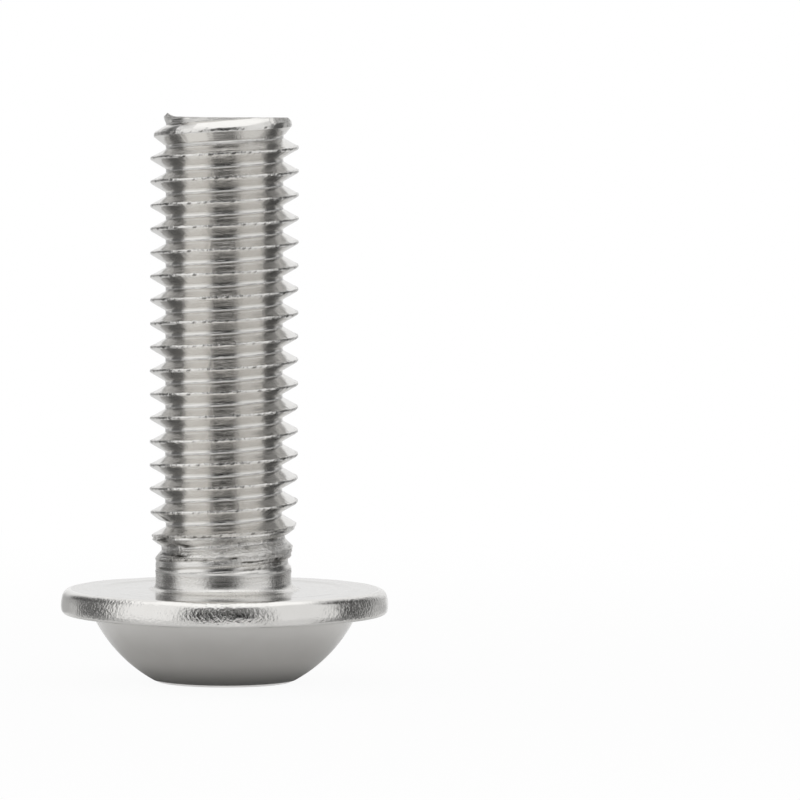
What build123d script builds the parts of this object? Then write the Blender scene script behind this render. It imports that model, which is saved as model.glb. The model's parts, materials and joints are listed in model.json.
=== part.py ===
# Flange button head screw with a hexagon socket, M8 x 25: one piece of cold-headed steel.
# It stands on its head.  The flat ring round the socket lies in z = 0 and the shank points up
# along +Z.  All lengths are in millimetres and all angles in degrees.
import os
from math import hypot, radians, sqrt, tan

from build123d import *

# Shank.  Its full diameter is the one over the thread's crests.
major_diameter = 7.85
thread_pitch = 1.25
shank_length = 25.0            # from the bearing face to the tip
neck_length = 1.2              # plain blank between the bearing face and the thread
blank_allowance = 0.06         # the blank's radius over that of the thread's pitch line
runout_length = 2.7            # over which the crests rise from the neck to full height
tip_inset = 0.62               # how far the end comes in from the crests
tip_slope = 45.0               # of the chamfer at the tip, from the shank's axis
neck_fillet = 0.4

# Flange
flange_diameter = 17.42
flange_thickness = 1.33
ledge_width = 1.66             # flat left between the foot of the dome and the flange's side
bearing_rounding = 0.45        # of the flange's edge beside the bearing face
ledge_rounding = 0.27          # of its edge beside the ledge

# Dome and socket
dome_height = 3.6
ring_width = 0.45              # flat ring that surrounds the socket
socket_across_flats = 5.14
socket_depth = 3.8             # from the ring down to the foot of the walls
floor_dip = 0.5                # the floor's middle lies this much deeper than its edge
countersink_margin = 0.21      # how far the mouth reaches past the hexagon's corners
countersink_slope = 60.0       # of the mouth, from the socket's axis

# The crests stand three quarters of the sharp thread form's height above the roots, and the
# pitch line is half way up them.
sharp_form_height = thread_pitch * sqrt(3) / 2
thread_height = sharp_form_height * 3 / 4
crest_radius = major_diameter / 2
neck_radius = crest_radius - thread_height / 2 + blank_allowance

flange_radius = flange_diameter / 2
dome_foot_radius = flange_radius - ledge_width
hexagon_corner_radius = socket_across_flats / sqrt(3)
mouth_radius = hexagon_corner_radius + countersink_margin
ring_radius = mouth_radius + ring_width

bearing_level = dome_height + flange_thickness
thread_level = bearing_level + neck_length
tip_level = bearing_level + shank_length
tip_chamfer_length = tip_inset / tan(radians(tip_slope))


def dome_arc():
    # The dome is a zone of a sphere that runs from the ring to the ledge.
    centre_level = (dome_height**2 + dome_foot_radius**2 - ring_radius**2) / (2 * dome_height)
    sphere_radius = hypot(ring_radius, centre_level)
    middle_level = dome_height / 2
    middle_radius = sqrt(sphere_radius**2 - (centre_level - middle_level) ** 2)
    ring_end = (ring_radius, 0)
    middle = (middle_radius, middle_level)
    ledge_end = (dome_foot_radius, dome_height)
    return ThreePointArc(ring_end, middle, ledge_end)


def screw_body():
    # Half of the screw's section, radius across and height up, turned about the axis
    outline = Polyline(
        (dome_foot_radius, dome_height),
        (flange_radius, dome_height),
        (flange_radius, bearing_level),
        (neck_radius, bearing_level),
        (neck_radius, thread_level),
        (crest_radius, thread_level + runout_length),
        (crest_radius, tip_level - tip_chamfer_length),
        (crest_radius - tip_inset, tip_level),
        (0, tip_level),
        (0, 0),
        (ring_radius, 0),
    )
    section = make_face(dome_arc() + outline)
    roundings = [
        ((flange_radius, dome_height), ledge_rounding),
        ((flange_radius, bearing_level), bearing_rounding),
        ((neck_radius, bearing_level), neck_fillet),
    ]
    for place, radius in roundings:
        corner = section.vertices().sort_by_distance(place)[0]
        section = fillet(corner, radius)
    return revolve(Plane.XZ * section, Axis.Z)


def socket_cutter():
    # Six walls for the key.  The cutter's end is a shallow cone, as the punch leaves it.
    prism = extrude(RegularPolygon(hexagon_corner_radius, 6), socket_depth + floor_dip)
    punch_end = Polyline(
        (0, 0),
        (hexagon_corner_radius, 0),
        (hexagon_corner_radius, socket_depth),
        (0, socket_depth + floor_dip),
        close=True,
    )
    walls = prism & revolve(Plane.XZ * make_face(punch_end), Axis.Z)

    # The mouth is a cone whose point lies on the axis, so that it bites into the six corners
    # least and into the middle of each wall most.
    mouth_depth = mouth_radius / tan(radians(countersink_slope))
    mouth = Cone(mouth_radius, 0, mouth_depth, align=(Align.CENTER, Align.CENTER, Align.MIN))
    return walls + mouth


button_head_screw = screw_body() - socket_cutter()

os.makedirs("parts", exist_ok=True)
export_step(button_head_screw, "parts/button_head_screw.step")
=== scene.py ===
import json
import math
import bpy
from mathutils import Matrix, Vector, noise


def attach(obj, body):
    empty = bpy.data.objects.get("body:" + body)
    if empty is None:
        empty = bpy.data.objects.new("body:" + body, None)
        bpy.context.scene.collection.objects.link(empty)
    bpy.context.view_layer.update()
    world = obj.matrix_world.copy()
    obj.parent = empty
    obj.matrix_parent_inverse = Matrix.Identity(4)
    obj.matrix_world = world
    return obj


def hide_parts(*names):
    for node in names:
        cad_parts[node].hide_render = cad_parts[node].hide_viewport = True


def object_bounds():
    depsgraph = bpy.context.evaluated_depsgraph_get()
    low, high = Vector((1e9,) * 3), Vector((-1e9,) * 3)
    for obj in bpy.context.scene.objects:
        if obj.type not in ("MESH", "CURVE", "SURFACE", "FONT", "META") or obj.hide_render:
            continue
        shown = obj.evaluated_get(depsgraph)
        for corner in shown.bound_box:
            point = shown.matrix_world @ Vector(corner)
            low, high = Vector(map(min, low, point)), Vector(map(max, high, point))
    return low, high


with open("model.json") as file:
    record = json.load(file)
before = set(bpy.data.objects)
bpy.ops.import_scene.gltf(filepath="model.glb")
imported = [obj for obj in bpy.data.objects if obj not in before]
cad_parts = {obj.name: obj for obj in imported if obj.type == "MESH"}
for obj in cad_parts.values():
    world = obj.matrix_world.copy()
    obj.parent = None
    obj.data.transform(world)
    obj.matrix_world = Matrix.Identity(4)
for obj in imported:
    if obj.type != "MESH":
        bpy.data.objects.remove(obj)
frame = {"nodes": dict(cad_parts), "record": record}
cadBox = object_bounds()
print("frame loaded:", ", ".join(frame["nodes"]))

# shapes are worked out in millimetres and turned into metres when the mesh is made
mm = 0.001
turn = 2 * math.pi
columns = 228    # points round the screw

mounts = {mount["name"]: mount for mount in frame["record"]["mounts"]}
bearingLevel = mounts["bearing_face"]["pos_m"][2] / mm
crestRadius = mounts["thread"]["dims"]["r_mm"]
tipLevel = cadBox[1][2] / mm
flangeRadius = cadBox[1][0] / mm


def clampUnit(value):
    return min(max(value, 0.0), 1.0)


def ease(value, start, end):
    # 0 before start, 1 after end, with soft ends
    t = clampUnit((value - start) / (end - start))
    return t * t * (3 - 2 * t)


def bump(value, centre, halfWidth):
    # a soft hill, 1 at the centre and 0 from halfWidth on
    return 1 - ease(abs(value - centre), 0, halfWidth)


def apart(first, second):
    # degrees between two directions
    return abs((first - second + 180) % 360 - 180)


def readOff(curve, value):
    # straight lines between the curve's points
    for (x0, y0), (x1, y1) in zip(curve, curve[1:]):
        if value < x1:
            return y0 + (y1 - y0) * clampUnit((value - x0) / (x1 - x0))
    return curve[-1][1]


def grain(x, y, z, size, offset=0.0):
    return noise.noise(Vector((x / size + offset, y / size, z / size)))


def polar(radius, angle):
    return radius * math.cos(angle), radius * math.sin(angle)


# the mesh is one closed skin, built ring by ring from the socket's floor to the thread's end
points = []
lays = []
wearsAndShade = []
faces = []
faceFinish = []
finishes = ["socket", "mouth", "dome", "ledge", "rim", "bearing", "neck", "thread", "tip"]


def addPoint(radius, level, angle, lay, dull=0.0, torn=0.0, dark=0.0):
    # lay is the direction of the tool marks; dull, torn and dark run from 0 to 1, and dark is painted
    # shade in folds, creases and the crest's tears
    x, y = polar(radius, angle)
    points.append((x * mm, y * mm, level * mm))
    lays.append(lay)
    wearsAndShade.append((dull, torn, dark))
    return len(points) - 1


def angleOf(column):
    return turn * column / columns


def layOf(angle, across, drift=0.0):
    # where a point lies along and across the marks that tools leave, with no seam
    return 3 * math.cos(angle) + drift, 3 * math.sin(angle), across


def addFace(corners, finish):
    faces.append(corners)
    faceFinish.append(finishes.index(finish))


def joinRings(lower, upper, finish):
    for i in range(columns):
        j = (i + 1) % columns
        addFace((lower[i], lower[j], upper[j], upper[i]), finish)


def joinAll(rings, finish):
    for lower, upper in zip(rings, rings[1:]):
        joinRings(lower, upper, finish)


def closeRing(ring, centre, finish, facingDown):
    for i in range(columns):
        j = (i + 1) % columns
        addFace((centre, ring[j], ring[i]) if facingDown else (ring[i], ring[j], centre), finish)


# hexagon socket: coned floor with a groove at its foot, flat walls, countersunk mouth
socket = {
    "acrossFlats": 5.14,
    "depth": 3.8,
    "floorDip": 0.5,            # the floor's middle lies this much deeper than its edge
    "floorRough": 0.012,
    "centreRough": 0.03,
    "grooveWidth": 0.2,
    "grooveDepth": 0.07,
    "wallRough": 0.006,
    "wallLap": 0.02,            # the walls start this much above the floor's edge
    "countersinkMargin": 0.21,
    "countersinkSlope": 60.0,
    "coneRough": 0.008,
    "edgeWear": 0.035,          # where the cone meets the walls
    "mouthWear": 0.04,          # where it meets the ring
}
flatRadius = socket["acrossFlats"] / 2
cornerRadius = flatRadius / math.cos(math.radians(30))
mouthRadius = cornerRadius + socket["countersinkMargin"]
coneSlope = math.tan(math.radians(socket["countersinkSlope"]))


def hexagonRadius(angle):
    return flatRadius / math.cos(angle % math.radians(60) - math.radians(30))


def floorLevel(radius):
    return socket["depth"] + socket["floorDip"] * (1 - radius / cornerRadius)


def mouthLevel(angle):
    return (mouthRadius - hexagonRadius(angle)) * coneSlope


def floorRing(share, inset=0.0, sunk=0.0):
    ring = []
    for i in range(columns):
        a = angleOf(i)
        r = hexagonRadius(a) * share - inset
        x, y = polar(r, a)
        rough = socket["floorRough"] * grain(x, y, 0, 0.5)
        rough += socket["centreRough"] * bump(r, 0, 0.5) * grain(x, y, 3, 0.16)
        ring.append(addPoint(r, floorLevel(r) + sunk + rough, a, layOf(a, r)))
    return ring


def wallRing(share):
    # share 0 is the floor's edge and 1 the mouth's
    ring = []
    for i in range(columns):
        a = angleOf(i)
        r = hexagonRadius(a)
        deep = floorLevel(r) - socket["wallLap"]
        high = mouthLevel(a) + socket["edgeWear"]
        x, y = polar(r, a)
        rough = socket["wallRough"] * grain(x, y, share * 4, 0.7)
        ring.append(addPoint(r + rough, deep + (high - deep) * share, a, layOf(a, share * 3)))
    return ring


def coneRing(share):
    # share 0 is the walls' edge and 1 the ring's
    ring = []
    for i in range(columns):
        a = angleOf(i)
        start = hexagonRadius(a) + socket["edgeWear"] * 0.6
        r = start + (mouthRadius - socket["mouthWear"] - start) * share
        x, y = polar(r, a)
        rough = socket["coneRough"] * grain(x, y, 9, 0.6)
        ring.append(addPoint(r, (mouthRadius - r) * coneSlope + rough, a, layOf(a, share)))
    return ring


socketCentre = addPoint(0.0, floorLevel(0.0) + 0.02, 0.0, layOf(0, 0))
grooveWidth = socket["grooveWidth"]
grooveDepth = socket["grooveDepth"]
innerRings = [floorRing(share) for share in (0.05, 0.12, 0.22, 0.4, 0.6, 0.8)]
innerRings.append(floorRing(1.0, grooveWidth))
innerRings += [floorRing(1.0, grooveWidth * share, grooveDepth) for share in (0.6, 0.25)]
innerRings += [wallRing(share) for share in (0.0, 0.03, 0.2, 0.45, 0.7, 0.9, 1.0)]
coneRings = [coneRing(share) for share in (0.0, 0.35, 0.7, 1.0)]
closeRing(innerRings[0], socketCentre, "socket", True)
joinAll(innerRings, "socket")
joinAll([innerRings[-1]] + coneRings, "mouth")
lastRing = coneRings[-1]
print("socket built:", len(points), "points")

# head and flange: one section, turned round the axis
head = {
    "ringWidth": 0.45,
    "domeHeight": 3.6,
    "domeFootRounding": 0.2,
    "domeRough": 0.003,
    "ledgeWidth": 1.66,
    "ledgeRounding": 0.27,
    "bearingRounding": 0.5,
    # height over the ledge, and how far the flange's side stands out there
    "rimCrown": ((0.36, -0.006), (0.46, 0.0), (0.58, -0.003), (0.70, -0.014), (0.80, -0.032)),
    "rimSag": 0.12,             # how far the flange's lower edge dips at the front
    "rimSagAt": (270, 75),
    "rimLumps": 0.02,
    "rimDents": 0.014,
    # battered places on the rim: direction and half width in degrees
    "rimPatches": ((218, 24), (270, 26), (332, 36), (35, 22), (95, 26), (150, 22)),
    "bearingWaves": 0.006,
    "bearingRing": 6.5,         # radius of the step that the die leaves on the bearing face
    "bearingStep": 0.05,
    "neckRadius": 3.60,
    "neckFillet": 0.4,
    # height over the bearing face, and the radius there
    "neckLine": (
        (0.5, 3.600), (0.66, 3.600), (0.73, 3.601), (0.83, 3.610), (0.94, 3.620), (0.98, 3.604),
    ),
    "shankOffset": -0.07,       # how far the shank stands to one side of the flange's middle
}
ringRadius = mouthRadius + head["ringWidth"]
footRadius = flangeRadius - head["ledgeWidth"]
ledgeLevel = head["domeHeight"]
# the dome is a zone of the sphere that passes through the ring's edge and the dome's foot
domeCentre = (ledgeLevel**2 + footRadius**2 - ringRadius**2) / (2 * ledgeLevel)
domeRadius = math.hypot(ringRadius, domeCentre)

section = []


def addLine(start, end, count, finish):
    for k in range(count):
        t = (k + 1) / count
        r = start[0] + (end[0] - start[0]) * t
        z = start[1] + (end[1] - start[1]) * t
        section.append((r, z, finish))


def addArc(centre, radius, startDegrees, endDegrees, count, finish):
    for k in range(count):
        a = math.radians(startDegrees + (endDegrees - startDegrees) * (k + 1) / count)
        section.append((centre[0] + radius * math.cos(a), centre[1] + radius * math.sin(a), finish))


def addBend(start, corner, end, count, finish):
    # a soft bend between two faces
    for k in range(count):
        t = (k + 1) / count
        r = (1 - t) ** 2 * start[0] + 2 * t * (1 - t) * corner[0] + t * t * end[0]
        z = (1 - t) ** 2 * start[1] + 2 * t * (1 - t) * corner[1] + t * t * end[1]
        section.append((r, z, finish))


# the worn edge of the mouth, the flat ring and the dome with its soft foot
mouthStart = (mouthRadius - socket["mouthWear"], 0.07)
ringStart = (mouthRadius + 0.06, 0.0)
addBend(mouthStart, (mouthRadius, 0.0), ringStart, 3, "mouth")
addLine(ringStart, (ringRadius - 0.05, 0), 4, "mouth")
foot = head["domeFootRounding"]
startAngle = math.degrees(math.atan2(-domeCentre, ringRadius))
footAngle = math.degrees(math.atan2(ledgeLevel - domeCentre, footRadius))
footBack = math.degrees(foot / domeRadius)
addArc((0, domeCentre), domeRadius, startAngle + 0.4, footAngle - footBack, 30, "dome")
ledgeStart = (footRadius + foot, ledgeLevel)
addBend(section[-1], (footRadius, ledgeLevel), ledgeStart, 6, "dome")

# the ledge, the flange's side with its roundings, and the bearing face
ledgeRound = head["ledgeRounding"]
bearingRound = head["bearingRounding"]
addLine(ledgeStart, (flangeRadius - ledgeRound, ledgeLevel), 8, "ledge")
addArc((flangeRadius - ledgeRound - 0.02, ledgeLevel + ledgeRound), ledgeRound, -90, -6, 6, "rim")
for up, out in head["rimCrown"]:
    section.append((flangeRadius + out, ledgeLevel + up, "rim"))
addArc((flangeRadius - bearingRound - 0.045, bearingLevel - bearingRound), bearingRound, 8, 90, 9, "rim")
fillet = head["neckFillet"]
neckFoot = head["neckRadius"] + fillet
addLine((flangeRadius - bearingRound, bearingLevel), (neckFoot, bearingLevel), 22, "bearing")
addArc((neckFoot, bearingLevel + fillet), fillet, -90, -180, 8, "neck")
for up, radius in head["neckLine"]:
    section.append((radius, bearingLevel + up, "neck"))


def headRing(k):
    r, z, finish = section[k]
    before = section[max(k - 1, 0)]
    after = section[min(k + 1, len(section) - 1)]
    alongR, alongZ = after[0] - before[0], after[1] - before[1]
    size = math.hypot(alongR, alongZ)
    outR, outZ = alongZ / size, -alongR / size
    onRim = ease(r, flangeRadius - 0.9, flangeRadius - 0.2) * ease(z, ledgeLevel - 0.01, ledgeLevel + 0.1)
    onNeck = finish == "neck"
    ring = []
    for i in range(columns):
        a = angleOf(i)
        degrees = math.degrees(a)
        x, y = polar(r, a)
        # push moves the point out of the plain form, square to it
        push = 0.0
        if onRim > 0:
            push -= onRim * head["rimLumps"] * (0.3 + grain(x, y, z, 1.8))
            push -= onRim * head["rimDents"] * (0.3 + grain(x, y, z * 2.2, 1.1, 7))
        if finish == "bearing":
            push += head["bearingWaves"] * grain(x, y, 0, 1.8) * ease(r, neckFoot, neckFoot + 0.6)
            push -= head["bearingStep"] * ease(r, head["bearingRing"] + 0.15, head["bearingRing"] - 0.15)
        if finish in ("dome", "ledge"):
            push -= head["domeRough"] * (1 + grain(x, y, z, 1.2))
        sag = onRim * head["rimSag"] * bump(degrees, *head["rimSagAt"])
        sag *= ease(z, ledgeLevel + 0.6, ledgeLevel + 0.2)
        aside = head["shankOffset"] * math.cos(a) * onNeck * ease(z - bearingLevel, 0, 0.4)
        # the rim is battered in patches, and the neck is dull where the thread starts
        worst = max(bump(degrees, centre, half) for centre, half in head["rimPatches"])
        torn = onRim * clampUnit(0.25 + 0.6 * worst + 0.6 * grain(x, y, z, 1.4, 3))
        dull = 0.15 * torn + 0.5 * onNeck * ease(z - bearingLevel, 0.9, 0.96)
        point = addPoint(r + outR * push + aside, z + outZ * push - sag, a, layOf(a, r + z), dull, torn)
        ring.append(point)
    return ring


for k in range(len(section)):
    ring = headRing(k)
    joinRings(lastRing, ring, section[k][2])
    lastRing = ring
print("head built:", len(points), "points")

# thread: rows follow the helix, so that the crest stays sharp all the way
thread = {
    "pitch": 1.25,
    "crestAt": 0.80,            # height of a crest where the angle is 0
    "crestFlat": 0.0625,        # half widths of the flats, in pitches
    "rootFlat": 0.0625,
    # heights over the bearing face and the radius there, where the dies let go
    "crestRise": ((1.4, 3.60), (2.05, 3.63), (2.8, 3.80), (3.4, 3.83), (4.6, crestRadius)),
    "rootFall": ((1.0, 3.60), (1.5, 3.43), (2.2, 3.28), (2.8, 3.25), (3.4, 3.06), (4.2, 3.113)),
    "wander": 0.04,             # how far the grooves stray before they run out
    "crestTear": 0.018,
    "crestTearShade": 0.9,
    "wornSide": 325,            # the last turns are worst here
    "lumps": (0.016, 0.018),    # large and small
    "creaseDepth": 0.045,
    # folds in the run-out: from and to which angle, and how high at either end
    "folds": (
        (276, 335, 1.58, 1.78), (276, 335, 1.17, 1.37), (196, 238, 1.93, 1.90), (262, 283, 1.88, 1.86),
    ),
    "foldWidth": 0.07,
    "foldDepth": 0.09,
}
# the end of the thread: chamfered, but left square beside its start, with a burr
tip = {
    "inset": 0.66,
    "taper": 0.8,
    "crestLoss": 0.09,
    "noseRadius": 3.52,
    "noseRise": 0.40,
    "squareAt": 330,
    "squareWidth": 48,
    "squareFlat": 0.3,
    "squareInset": 0.26,
    "burrAt": 196,
    "burrWidth": 18,
    "burrHeight": 0.23,
    "endRough": 0.012,
}
pitch = thread["pitch"]
helixStart = bearingLevel + 1.0
helixEnd = tipLevel - 0.02
# rows across one pitch, from root to root over the crest at 0, and how deep each lies under the
# plain form: the flank below the crest is hollow, and the one above it is full
rows = (
    (-0.5, 0.0),
    (-0.425, 0.027),
    (-0.37, 0.099),
    (-0.045, 0.055),
    (0.015, -0.005),
    (0.088, -0.052),
    (0.17, -0.028),
    (0.41, 0.0),
    (0.4375, 0.0),
)
# rows whose edge stays crisp, from crispFrom over the bearing face on
crispRows = (-0.425, -0.37, -0.045, 0.015, 0.088)
crispFrom = 2.2
# more rows over the torn turns next to the neck, up to tornTop
tornRows = (-0.31, -0.25, -0.19, -0.12, 0.12, 0.23, 0.29, 0.35)
tornTop = bearingLevel + 3.7
allRows = sorted(list(rows) + [(share, 0.0) for share in tornRows])
# the upright strip on the crest, as a share of the pitch
stripTop = 0.09


def threadPoint(angle, turnIndex, share, sunk=0.0):
    degrees = math.degrees(angle)
    wound = turnIndex + angle / turn
    along = wound * turn * 3.9
    level = thread["crestAt"] + pitch * (wound + share)
    # heights over the bearing face: of the point, of its crest and of its groove
    up = level - bearingLevel
    crestUp = up - pitch * share
    grooveUp = crestUp + math.copysign(pitch / 2, share)
    crestBelow = tipLevel - bearingLevel - crestUp
    square = 1 - ease(apart(degrees, tip["squareAt"]), 0, tip["squareWidth"])

    # the plain form: 1 on the crest, 0 in the root, straight flanks between
    loose = 1 - ease(crestUp, 2.4, 4.2)
    crestFlat = thread["crestFlat"] + 0.05 * loose + 0.14 * (1 - ease(grooveUp, 1.1, 2.4))
    if share > 0 and crestBelow < 1:
        # the last crest is broad, most of all where its end is square
        crestFlat += 0.02 + 0.10 * clampUnit(1 - (crestBelow - 0.5) / 0.4) + tip["squareFlat"] * square
        crestFlat = min(crestFlat, 0.42)
    rootFlat = thread["rootFlat"]
    crest = readOff(thread["crestRise"], crestUp) - tip["crestLoss"] * ease(up, 23.3, 24.3)
    root = readOff(thread["rootFall"], grooveUp)
    profile = clampUnit((0.5 - rootFlat - abs(share)) / (0.5 - rootFlat - crestFlat))
    formed = clampUnit((crestUp - 1.15) / 2.75)
    radius = root + (crest - root) * profile - sunk * (0.4 + 0.6 * formed) * ease(crestBelow, 0.6, 1.6)
    level += thread["wander"] * (1 - ease(up, 2.4, 3.6)) * noise.noise(Vector((along * 0.8, 3, 0)))

    # the crest is two folds: a bright lip below and a torn upright strip above it
    slow = noise.noise(Vector((along * 0.9, turnIndex * 2.3, 0)))
    fast = noise.noise(Vector((along * 4.1, 5, turnIndex)))
    edge = noise.noise(Vector((along * 5.3, share * 40, 8))) + 0.5 * slow
    if -0.05 < share < stripTop and crestUp > 1.9:
        rough = 1 + 1.2 * (1 - formed)
        radius += thread["crestTear"] * rough * (0.6 * fast + 0.4 * slow)
        level += thread["crestTear"] * rough * edge * (1.6 if share > -0.02 else 0.5)

    # the last turns before the neck are torn and creased, most of all on one side
    dark = 0.0
    tornSide = (0.5 + 0.5 * math.cos(angle - math.radians(thread["wornSide"]))) ** 2
    worn = ease(up, 1.6 - 0.4 * tornSide, 1.9) * ease(up, 3.4, 2.6)
    if worn > 0:
        x, y = polar(radius, angle)
        large, small = thread["lumps"]
        lumps = large * grain(x, y, level * 3, 0.7) + small * grain(x, y, level * 2, 0.25, 4)
        crease = clampUnit(4 * grain(x, y, level * 6, 1.6, 11) - 0.6)
        radius += worn * (0.4 + 0.9 * tornSide) * lumps
        radius -= worn * thread["creaseDepth"] * crease
        # painted shade: the creases are darkened in the colour, in place of the shade that falls inside
        # them
        dark = worn * crease * clampUnit(0.3 + 2 * grain(x, y, level * 2, 0.8, 21))
    for start, end, upStart, upEnd in thread["folds"]:
        t = (degrees - start) / (end - start)
        if 0 < t < 1:
            middle = upStart + (upEnd - upStart) * t + 0.03 * fast
            fold = clampUnit(1 - abs(level - bearingLevel - middle) / thread["foldWidth"])
            gape = clampUnit(6 * t * (1 - t))
            radius -= thread["foldDepth"] * fold * gape
            # painted shade: the folds are darkened in the colour, in place of the shade that falls inside
            # them
            dark += fold * gape * clampUnit(0.8 + 1.5 * edge)

    # blunt crest where the thread starts, and nothing left of the turn that would come next
    if crestBelow < 1.6:
        nose = tip["noseRadius"] + tip["noseRise"] * clampUnit((crestBelow - 0.27) / 1.25)
        nose += min(crestBelow, 0) - 0.5 * (1 - square) * (share * pitch) ** 2
        radius = min(radius, max(nose, root + 0.02))
    endAt = crestRadius - tip["inset"] + tip["squareInset"] * square
    radius = min(radius, endAt + (tipLevel - level) * tip["taper"])
    radius += head["shankOffset"] * math.cos(angle)

    # the blank's own skin is dull, and the strip, the run-out and a place near the tip are torn
    dull = 0.3 * profile * (1 - ease(crestUp, 2.0, 2.7)) + 0.35 * tornSide * worn
    torn = 0.3 * worn + 0.7 * tornSide * worn
    torn += 0.9 * bump(up, 23.75, 0.3) * bump(degrees, 305, 40)
    if 0 < share < stripTop:
        ragged = clampUnit(noise.noise(Vector((wound * 30, 4, 0))))
        torn += (0.35 + 0.8 * ragged) * ease(crestBelow, 0.3, 1.1)
    if 0 < share < 0.02:
        # painted shade: dark specks where the crest is torn open, in place of the shade inside the tears
        dark += thread["crestTearShade"] * clampUnit(4 * noise.noise(Vector((wound * 83, 9, 0))) - 0.3)
    return radius, level, clampUnit(dull), clampUnit(torn), clampUnit(dark)


crispPoints = set()
firstTurn = int(math.floor((helixStart - thread["crestAt"]) / pitch)) - 2
lastTurn = int(math.ceil((helixEnd - thread["crestAt"]) / pitch)) + 1


def threadColumn(column):
    # the points of one column from the neck up, each with the number of its row
    angle = angleOf(column)
    found = []
    for k in range(firstTurn, lastTurn):
        for n, (share, sunk) in enumerate(allRows):
            plainLevel = thread["crestAt"] + pitch * (k + share + angle / turn)
            if share in tornRows and plainLevel > tornTop:
                continue
            if helixStart + 0.02 < plainLevel < helixEnd - 0.012:
                radius, level, dull, torn, dark = threadPoint(angle, k, share, sunk)
                level = min(max(level, helixStart + 0.01), helixEnd - 0.006)
                lay = layOf(angle, pitch * share, 3.7 * (k + angle / turn))
                point = addPoint(radius, level, angle, lay, dull, torn, dark)
                if share in crispRows and level > bearingLevel + crispFrom:
                    crispPoints.add(point)
                found.append((k * len(allRows) + n, point))
    return found


def joinColumns(left, right):
    # left and right run from the neck to the tip, and rows with the same number are joined
    a = b = 0
    while a < len(left) - 1 or b < len(right) - 1:
        nextLeft = left[a + 1][0] if a < len(left) - 1 else 10**7
        nextRight = right[b + 1][0] if b < len(right) - 1 else 10**7
        if nextLeft == nextRight:
            addFace((left[a][1], right[b][1], right[b + 1][1], left[a + 1][1]), "thread")
            a += 1
            b += 1
        elif nextLeft < nextRight:
            addFace((left[a][1], right[b][1], left[a + 1][1]), "thread")
            a += 1
        else:
            addFace((left[a][1], right[b][1], right[b + 1][1]), "thread")
            b += 1


def endRadius(angle):
    # radius of the skin where it meets the flat end
    here = (tipLevel - thread["crestAt"]) / pitch - angle / turn
    share = here - round(here)
    return threadPoint(angle, round(here), share)[0]


def tipRing(share, level, lift=0.0):
    # lift is the burr's height on this ring
    ring = []
    for i in range(columns):
        a = angleOf(i)
        degrees = math.degrees(a)
        r = endRadius(a) * share
        x, y = polar(r, a)
        spike = clampUnit(1 - abs(degrees - tip["burrAt"]) / tip["burrWidth"]) ** 2
        lip = lift * (0.85 * spike + 0.15 * bump(degrees, 205, 50))
        rough = tip["endRough"] * grain(x, y, 2, 0.45) + 0.01 * grain(x, y, 5, 1.3)
        ring.append(addPoint(r, level + lip + rough * (share < 0.97), a, layOf(a, r)))
    return ring


helixColumns = [threadColumn(i) for i in range(columns)]
burr = tip["burrHeight"]
tipRings = [
    tipRing(0.995, tipLevel - 0.01, burr),
    tipRing(0.975, tipLevel, burr - 0.02),
    tipRing(0.93, tipLevel, 0.05),
    tipRing(0.8, tipLevel - 0.01),
    tipRing(0.6, tipLevel - 0.03),
    tipRing(0.35, tipLevel - 0.05),
    tipRing(0.12, tipLevel - 0.06),
]
lowest, highest = -(10**6), 10**6
for i in range(columns):
    j = (i + 1) % columns
    climbed = helixColumns[j]
    if j == 0:
        # after a full turn each row has climbed by one pitch
        climbed = [(row - len(allRows), point) for row, point in climbed]
    left = [(lowest, lastRing[i])] + helixColumns[i] + [(highest, tipRings[0][i])]
    right = [(lowest, lastRing[j])] + climbed + [(highest, tipRings[0][j])]
    joinColumns(left, right)
joinAll(tipRings, "tip")
closeRing(tipRings[-1], addPoint(0.0, tipLevel - 0.06, 0.0, layOf(0, 0)), "tip", False)
print("thread built:", len(points), "points,", len(faces), "faces")

sharpDegrees = 50
skin = bpy.data.meshes.new("screwSkin")
skin.from_pydata(points, [], faces)
skin.validate()
# the second attribute holds dull, torn and dark, and dark is painted shade
for name, values in (("lay", lays), ("wearAndShade", wearsAndShade)):
    onSkin = skin.attributes.new(name, "FLOAT_VECTOR", "POINT")
    onSkin.data.foreach_set("vector", [part for value in values for part in value])
skin.polygons.foreach_set("material_index", faceFinish)
skin.polygons.foreach_set("use_smooth", [True] * len(faces))
skin.set_sharp_from_angle(angle=math.radians(sharpDegrees))
for edge in skin.edges:
    if edge.vertices[0] in crispPoints and edge.vertices[1] in crispPoints:
        edge.use_edge_sharp = True
skin.update()
screw = bpy.data.objects.new("buttonHeadScrew", skin)
bpy.context.scene.collection.objects.link(screw)

# finishes: bright nickel, each zone with the marks its making leaves
bright = {"light": (0.86, 0.848, 0.826), "dark": (0.79, 0.777, 0.752)}
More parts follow.
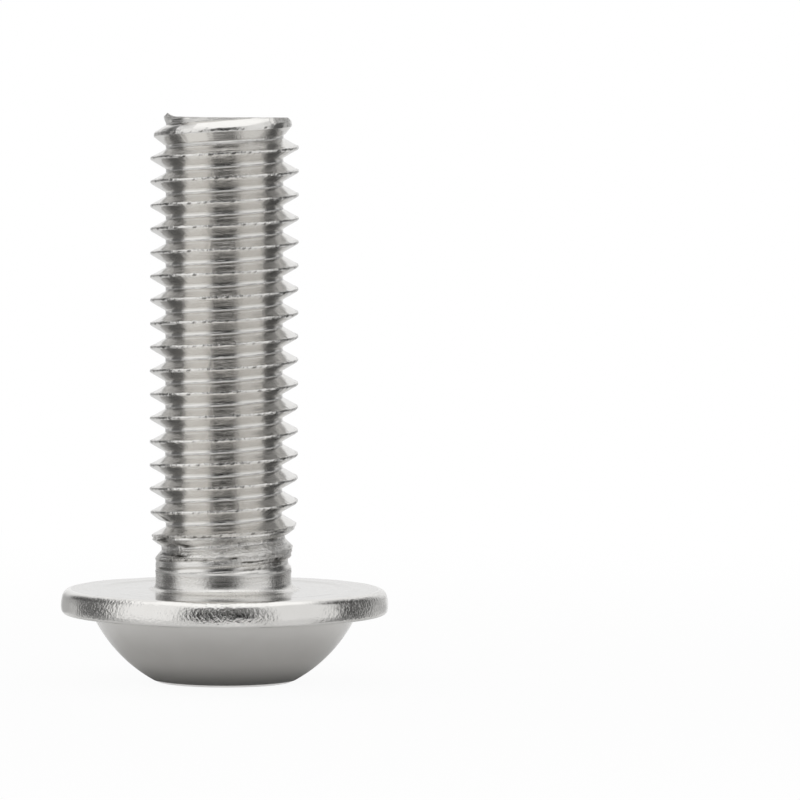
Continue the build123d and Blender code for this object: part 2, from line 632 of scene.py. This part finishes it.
# tone darkens the metal, and rough is its range of roughness
# streak and grain are the heights of the tool marks and of the fine grit, in hundredths of a
# millimetre, and worn is the grit's where the metal is battered
finishSettings = {
    "socket": {
        "tone": 0.60, "rough": (0.22, 0.40), "streak": 0.3, "across": 18,
        "grain": 0.3, "size": 9000, "worn": 0.0,
    },
    "mouth": {
        "tone": 0.97, "rough": (0.28, 0.40), "streak": 0.1, "across": 24,
        "grain": 0.2, "size": 14000, "worn": 0.0,
    },
    "dome": {
        "tone": 1.0, "rough": (0.13, 0.20), "streak": 0.05, "across": 10,
        "grain": 0.35, "size": 8000, "worn": 0.0,
    },
    "ledge": {
        "tone": 0.93, "rough": (0.32, 0.42), "streak": 0.05, "across": 16,
        "grain": 0.2, "size": 16000, "worn": 0.0,
    },
    "rim": {
        "tone": 1.0, "rough": (0.05, 0.10), "streak": 0.10, "across": 10,
        "grain": 0.3, "size": 6500, "worn": 4.0,
    },
    "bearing": {
        "tone": 0.81, "rough": (0.12, 0.18), "streak": 0.10, "across": 9,
        "grain": 0.05, "size": 6000, "worn": 0.0,
    },
    "neck": {
        "tone": 0.96, "rough": (0.20, 0.32), "streak": 1.1, "across": 9,
        "grain": 1.2, "size": 8000, "worn": 6.0,
    },
    "thread": {
        "tone": 1.0, "rough": (0.12, 0.20), "streak": 1.6, "across": 9,
        "grain": 0.10, "size": 8000, "worn": 6.0,
    },
    "tip": {
        "tone": 0.97, "rough": (0.20, 0.34), "streak": 0.2, "across": 8,
        "grain": 0.4, "size": 4000, "worn": 0.0,
    },
}
# where the metal is battered: more streaks and more roughness; and painted shade, nearly black, inside
# the folds, creases and tears
batteredAndShaded = {"streak": 1.6, "rough": 0.3, "paintedShadeInFolds": (0.07, 0.065, 0.055, 1.0)}
cloudSize = 900.0


def makeNode(tree, kind, **values):
    # nodes are laid out in rows of eight, in the order in which they are made
    count = len(tree.nodes)
    node = tree.nodes.new(kind)
    node.location = (220 * (count % 8), -260 * (count // 8))
    for name, value in values.items():
        if hasattr(node, name):
            setattr(node, name, value)
        else:
            node.inputs[name].default_value = value
    return node


def mathNode(tree, operation, first, second=None):
    node = makeNode(tree, "ShaderNodeMath", operation=operation)
    for slot, value in enumerate((first, second)):
        if value is None:
            continue
        if isinstance(value, (int, float)):
            node.inputs[slot].default_value = value
        else:
            tree.links.new(value, node.inputs[slot])
    return node.outputs[0]


def rangeNode(tree, value, start, end, low=0.0, high=1.0, kind="SMOOTHSTEP"):
    # turns start to end into low to high
    node = makeNode(tree, "ShaderNodeMapRange", interpolation_type=kind)
    for name, number in (("From Min", start), ("From Max", end), ("To Min", low), ("To Max", high)):
        node.inputs[name].default_value = number
    tree.links.new(value, node.inputs["Value"])
    return node.outputs["Result"]


def mixColours(tree, share, first, second):
    node = makeNode(tree, "ShaderNodeMix", data_type="RGBA")
    tree.links.new(share, node.inputs[0])
    ends = [end for end in node.inputs if end.type == "RGBA"]
    for end, value in zip(ends, (first, second)):
        if isinstance(value, (list, tuple)):
            end.default_value = value
        else:
            tree.links.new(value, end)
    return [end for end in node.outputs if end.type == "RGBA"][0]


def mixShaders(tree, share, first, second):
    node = makeNode(tree, "ShaderNodeMixShader")
    for slot, link in enumerate((share, first, second)):
        tree.links.new(link, node.inputs[slot])
    return node.outputs[0]


def makeFinish(name, settings):
    material = bpy.data.materials.new("brightSteel" + name.capitalize())
    material.use_nodes = True
    tree = material.node_tree
    shader = tree.nodes["Principled BSDF"]
    shader.inputs["Metallic"].default_value = 1.0
    place = makeNode(tree, "ShaderNodeTexCoord")
    lay = makeNode(tree, "ShaderNodeAttribute", attribute_name="lay")
    wearAndShade = makeNode(tree, "ShaderNodeAttribute", attribute_name="wearAndShade")
    kinds = makeNode(tree, "ShaderNodeSeparateXYZ")
    tree.links.new(wearAndShade.outputs["Vector"], kinds.inputs[0])
    # dark is painted shade for the folds, creases and the crest's tears
    dull, torn, dark = kinds.outputs
    stretch = makeNode(tree, "ShaderNodeMapping", Scale=(1.0, 1.0, settings["across"]))
    tree.links.new(lay.outputs["Vector"], stretch.inputs["Vector"])
    streaks = makeNode(tree, "ShaderNodeTexNoise", Scale=1.0, Detail=4.0, Roughness=0.6)
    tree.links.new(stretch.outputs["Vector"], streaks.inputs["Vector"])
    cloud = makeNode(tree, "ShaderNodeTexNoise", Scale=cloudSize, Detail=3.0)
    tree.links.new(place.outputs["Object"], cloud.inputs["Vector"])
    fine = makeNode(tree, "ShaderNodeTexNoise", Scale=settings["size"], Detail=3.0)
    tree.links.new(place.outputs["Object"], fine.inputs["Vector"])

    # colour: cloudy metal, with painted shade, nearly black, inside the folds, creases and tears
    darkMetal, lightMetal = [
        [part * settings["tone"] for part in bright[key]] + [1.0] for key in ("dark", "light")
    ]
    metal = mixColours(tree, cloud.outputs["Fac"], darkMetal, lightMetal)
    tree.links.new(mixColours(tree, dark, metal, batteredAndShaded["paintedShadeInFolds"]), shader.inputs["Base Color"])

    # roughness varies along the tool marks and grows where the metal is dull
    spread = rangeNode(tree, streaks.outputs["Fac"], 0.35, 0.65, *settings["rough"], "LINEAR")
    extra = mathNode(tree, "MULTIPLY", dull, batteredAndShaded["rough"])
    tree.links.new(mathNode(tree, "ADD", spread, extra), shader.inputs["Roughness"])

    # relief: tool marks and grit, both higher where the metal is torn
    streakMore = mathNode(tree, "MULTIPLY", torn, batteredAndShaded["streak"] * settings["streak"])
    streakHeight = mathNode(tree, "ADD", streakMore, settings["streak"])
    grainMore = mathNode(tree, "MULTIPLY", torn, settings["worn"])
    grainHeight = mathNode(tree, "ADD", grainMore, settings["grain"])
    marks = mathNode(tree, "MULTIPLY", streaks.outputs["Fac"], streakHeight)
    grit = mathNode(tree, "MULTIPLY", fine.outputs["Fac"], grainHeight)
    relief = makeNode(tree, "ShaderNodeBump", Strength=1.0, Distance=0.00001)
    tree.links.new(mathNode(tree, "ADD", marks, grit), relief.inputs["Height"])
    tree.links.new(relief.outputs["Normal"], shader.inputs["Normal"])
    return material


for name in finishes:
    skin.materials.append(makeFinish(name, finishSettings[name]))
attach(screw, "root")
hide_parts("button_head_screw")
print("finishes ready")

# studio: pale floor, white surroundings with soft panels; lengths in metres
studio = {
    "floorTone": 0.74,
    "floorGlow": 0.95,
    "floorRadius": 0.12,
    # painted contact shadow: the floor's own colour is darker near the head
    "paintedContactTone": 0.25,             # the floor is dimmer close to where the head touches it
    "paintedContactShadow": (0.0028, 0.0056),
    "tableEdge": (0.0115, 0.017),    # how far out reflections still see the floor
    "fill": 0.92,
    "surround": 0.9,
}
# degrees round from the viewer, half width, lowest and highest degrees up, brightness, softness
panels = [
    (0, 200, 52, 100, 1.15, 20),      # soft light overhead
    (-52, 32, -20, 56, 0.95, 24),     # left wall
    (54, 33, -20, 56, 0.82, 24),      # right wall
    (-1, 27, 14, 44, 0.20, 26),       # dim above the camera
    (-1, 27, -40, 20, 0.01, 26),      # the camera's own dark stand
    (-150, 18, -34, 10, 0.45, 16),    # grey behind, left and right
    (145, 14, -34, 8, 0.42, 14),
    (0, 200, -100, -10, 0.70, 6),     # table
    (1, 14, -50, -10, 0.82, 14),
    (-124, 30, 8, 46, 0.10, 24),      # dark drapes behind, left and right
    (-108, 20, -40, 16, 0.12, 14),
    (117, 26, 8, 50, 0.06, 26),
    (105, 19, -40, 16, 0.08, 14),
    (-108, 36, -60, -16, 0.44, 24),   # and their shade on the table
    (104, 34, -60, -16, 0.27, 24),
]


def makeFloor():
    bpy.ops.mesh.primitive_circle_add(vertices=96, radius=studio["floorRadius"], fill_type="NGON")
    floor = bpy.context.object
    floor.name = "studioFloor"
    material = bpy.data.materials.new("studioFloorPaint")
    material.use_nodes = True
    tree = material.node_tree
    tree.nodes.clear()
    out = makeNode(tree, "ShaderNodeOutputMaterial")
    matt = makeNode(tree, "ShaderNodeBsdfDiffuse")
    glow = makeNode(tree, "ShaderNodeEmission")
    clear = makeNode(tree, "ShaderNodeBsdfTransparent")
    rays = makeNode(tree, "ShaderNodeLightPath")
    side = makeNode(tree, "ShaderNodeNewGeometry")
    place = makeNode(tree, "ShaderNodeTexCoord")
    reach = makeNode(tree, "ShaderNodeVectorMath", operation="LENGTH")
    tree.links.new(place.outputs["Object"], reach.inputs[0])
    away = reach.outputs["Value"]

    # painted contact shadow: the floor's own colour is darkened near where the head touches it, on top of
    # its real shadow
    tone = rangeNode(tree, away, *studio["paintedContactShadow"], studio["paintedContactTone"], studio["floorTone"])
    tree.links.new(tone, matt.inputs["Color"])
    # the floor fades into the white surroundings before its edge
    fade = rangeNode(tree, away, 0.02, studio["floorRadius"] * 0.9, studio["floorGlow"], 1.0)
    share = mathNode(tree, "MULTIPLY", rays.outputs["Is Camera Ray"], fade)
    paint = mixShaders(tree, share, matt.outputs[0], glow.outputs[0])

    # reflections see the table only near the screw, and the panels beyond it
    edge = rangeNode(tree, away, *studio["tableEdge"])
    # under the socket there is no table either, so that its walls are lit
    under = mathNode(tree, "LESS_THAN", away, (ringRadius + 0.1) * mm)
    gone = mathNode(tree, "ADD", edge, under)
    beyond = mathNode(tree, "MULTIPLY", gone, rays.outputs["Is Glossy Ray"])
    # from below the floor can't be seen, so that the socket can
    through = mathNode(tree, "MAXIMUM", side.outputs["Backfacing"], beyond)
    tree.links.new(mixShaders(tree, through, paint, clear.outputs[0]), out.inputs["Surface"])
    floor.data.materials.append(material)


def addPanel(tree, glow, azimuth, height, panel):
    # glow is the brightness so far, and comes back with the panel laid over it
    centre, half, low, high, level, soft = panel
    beside = mathNode(tree, "ABSOLUTE", mathNode(tree, "SUBTRACT", azimuth, centre))
    tall = mathNode(tree, "ABSOLUTE", mathNode(tree, "SUBTRACT", height, (low + high) / 2))
    sides = rangeNode(tree, beside, half + soft / 2, half - soft / 2)
    ends = rangeNode(tree, tall, (high - low) / 2 + soft / 2, (high - low) / 2 - soft / 2)
    mask = mathNode(tree, "MULTIPLY", sides, ends)
    keep = mathNode(tree, "MULTIPLY", mathNode(tree, "SUBTRACT", 1.0, mask), glow)
    return mathNode(tree, "ADD", keep, mathNode(tree, "MULTIPLY", mask, level))


def makeWorld():
    world = bpy.data.worlds.new("studioSurround")
    bpy.context.scene.world = world
    world.use_nodes = True
    tree = world.node_tree
    tree.nodes.clear()
    out = makeNode(tree, "ShaderNodeOutputWorld")
    place = makeNode(tree, "ShaderNodeTexCoord")
    split = makeNode(tree, "ShaderNodeSeparateXYZ")
    tree.links.new(place.outputs["Generated"], split.inputs[0])
    x, y, z = split.outputs
    # degrees round from the viewer's side, and degrees up
    behind = mathNode(tree, "MULTIPLY", y, -1.0)
    azimuth = mathNode(tree, "MULTIPLY", mathNode(tree, "ARCTAN2", x, behind), 180 / math.pi)
    height = mathNode(tree, "MULTIPLY", mathNode(tree, "ARCSINE", z), 180 / math.pi)
    glow = studio["surround"]
    for panel in panels:
        glow = addPanel(tree, glow, azimuth, height, panel)

    # the metal sees the panels, the camera sees white, and the floor gets an even fill
    white = (1, 1, 1, 1)
    reflected = makeNode(tree, "ShaderNodeBackground", Color=white)
    tree.links.new(glow, reflected.inputs["Strength"])
    seen = makeNode(tree, "ShaderNodeBackground", Color=white, Strength=1.0)
    fill = makeNode(tree, "ShaderNodeBackground", Color=white, Strength=studio["fill"])
    rays = makeNode(tree, "ShaderNodeLightPath")
    shiny = mathNode(tree, "ADD", rays.outputs["Is Glossy Ray"], rays.outputs["Is Transmission Ray"])
    lit = mixShaders(tree, shiny, fill.outputs[0], reflected.outputs[0])
    shown = mixShaders(tree, rays.outputs["Is Camera Ray"], lit, seen.outputs[0])
    tree.links.new(shown, out.inputs["Surface"])


makeFloor()
makeWorld()

# camera: a long lens, level with the tip and turned a little to the right of the screw
view = {
    "distance": 0.298,
    "height": tipLevel * mm,
    "down": 2.872,
    "aside": 1.769,
    "tilt": -0.26,
    "lens": 253.0,
    "sensor": 36.0,
}
camera = bpy.data.objects.new("camera", bpy.data.cameras.new("camera"))
camera.data.sensor_width = view["sensor"]
camera.data.lens = view["lens"]
camera.data.clip_start = 0.01
camera.location = (0.0, -view["distance"], view["height"])
turned = (90 - view["down"], view["tilt"], -view["aside"])
camera.rotation_euler = [math.radians(part) for part in turned]
bpy.context.scene.collection.objects.link(camera)
bpy.context.scene.camera = camera
bpy.context.scene.view_settings.view_transform = "Standard"
print("studio and camera ready")
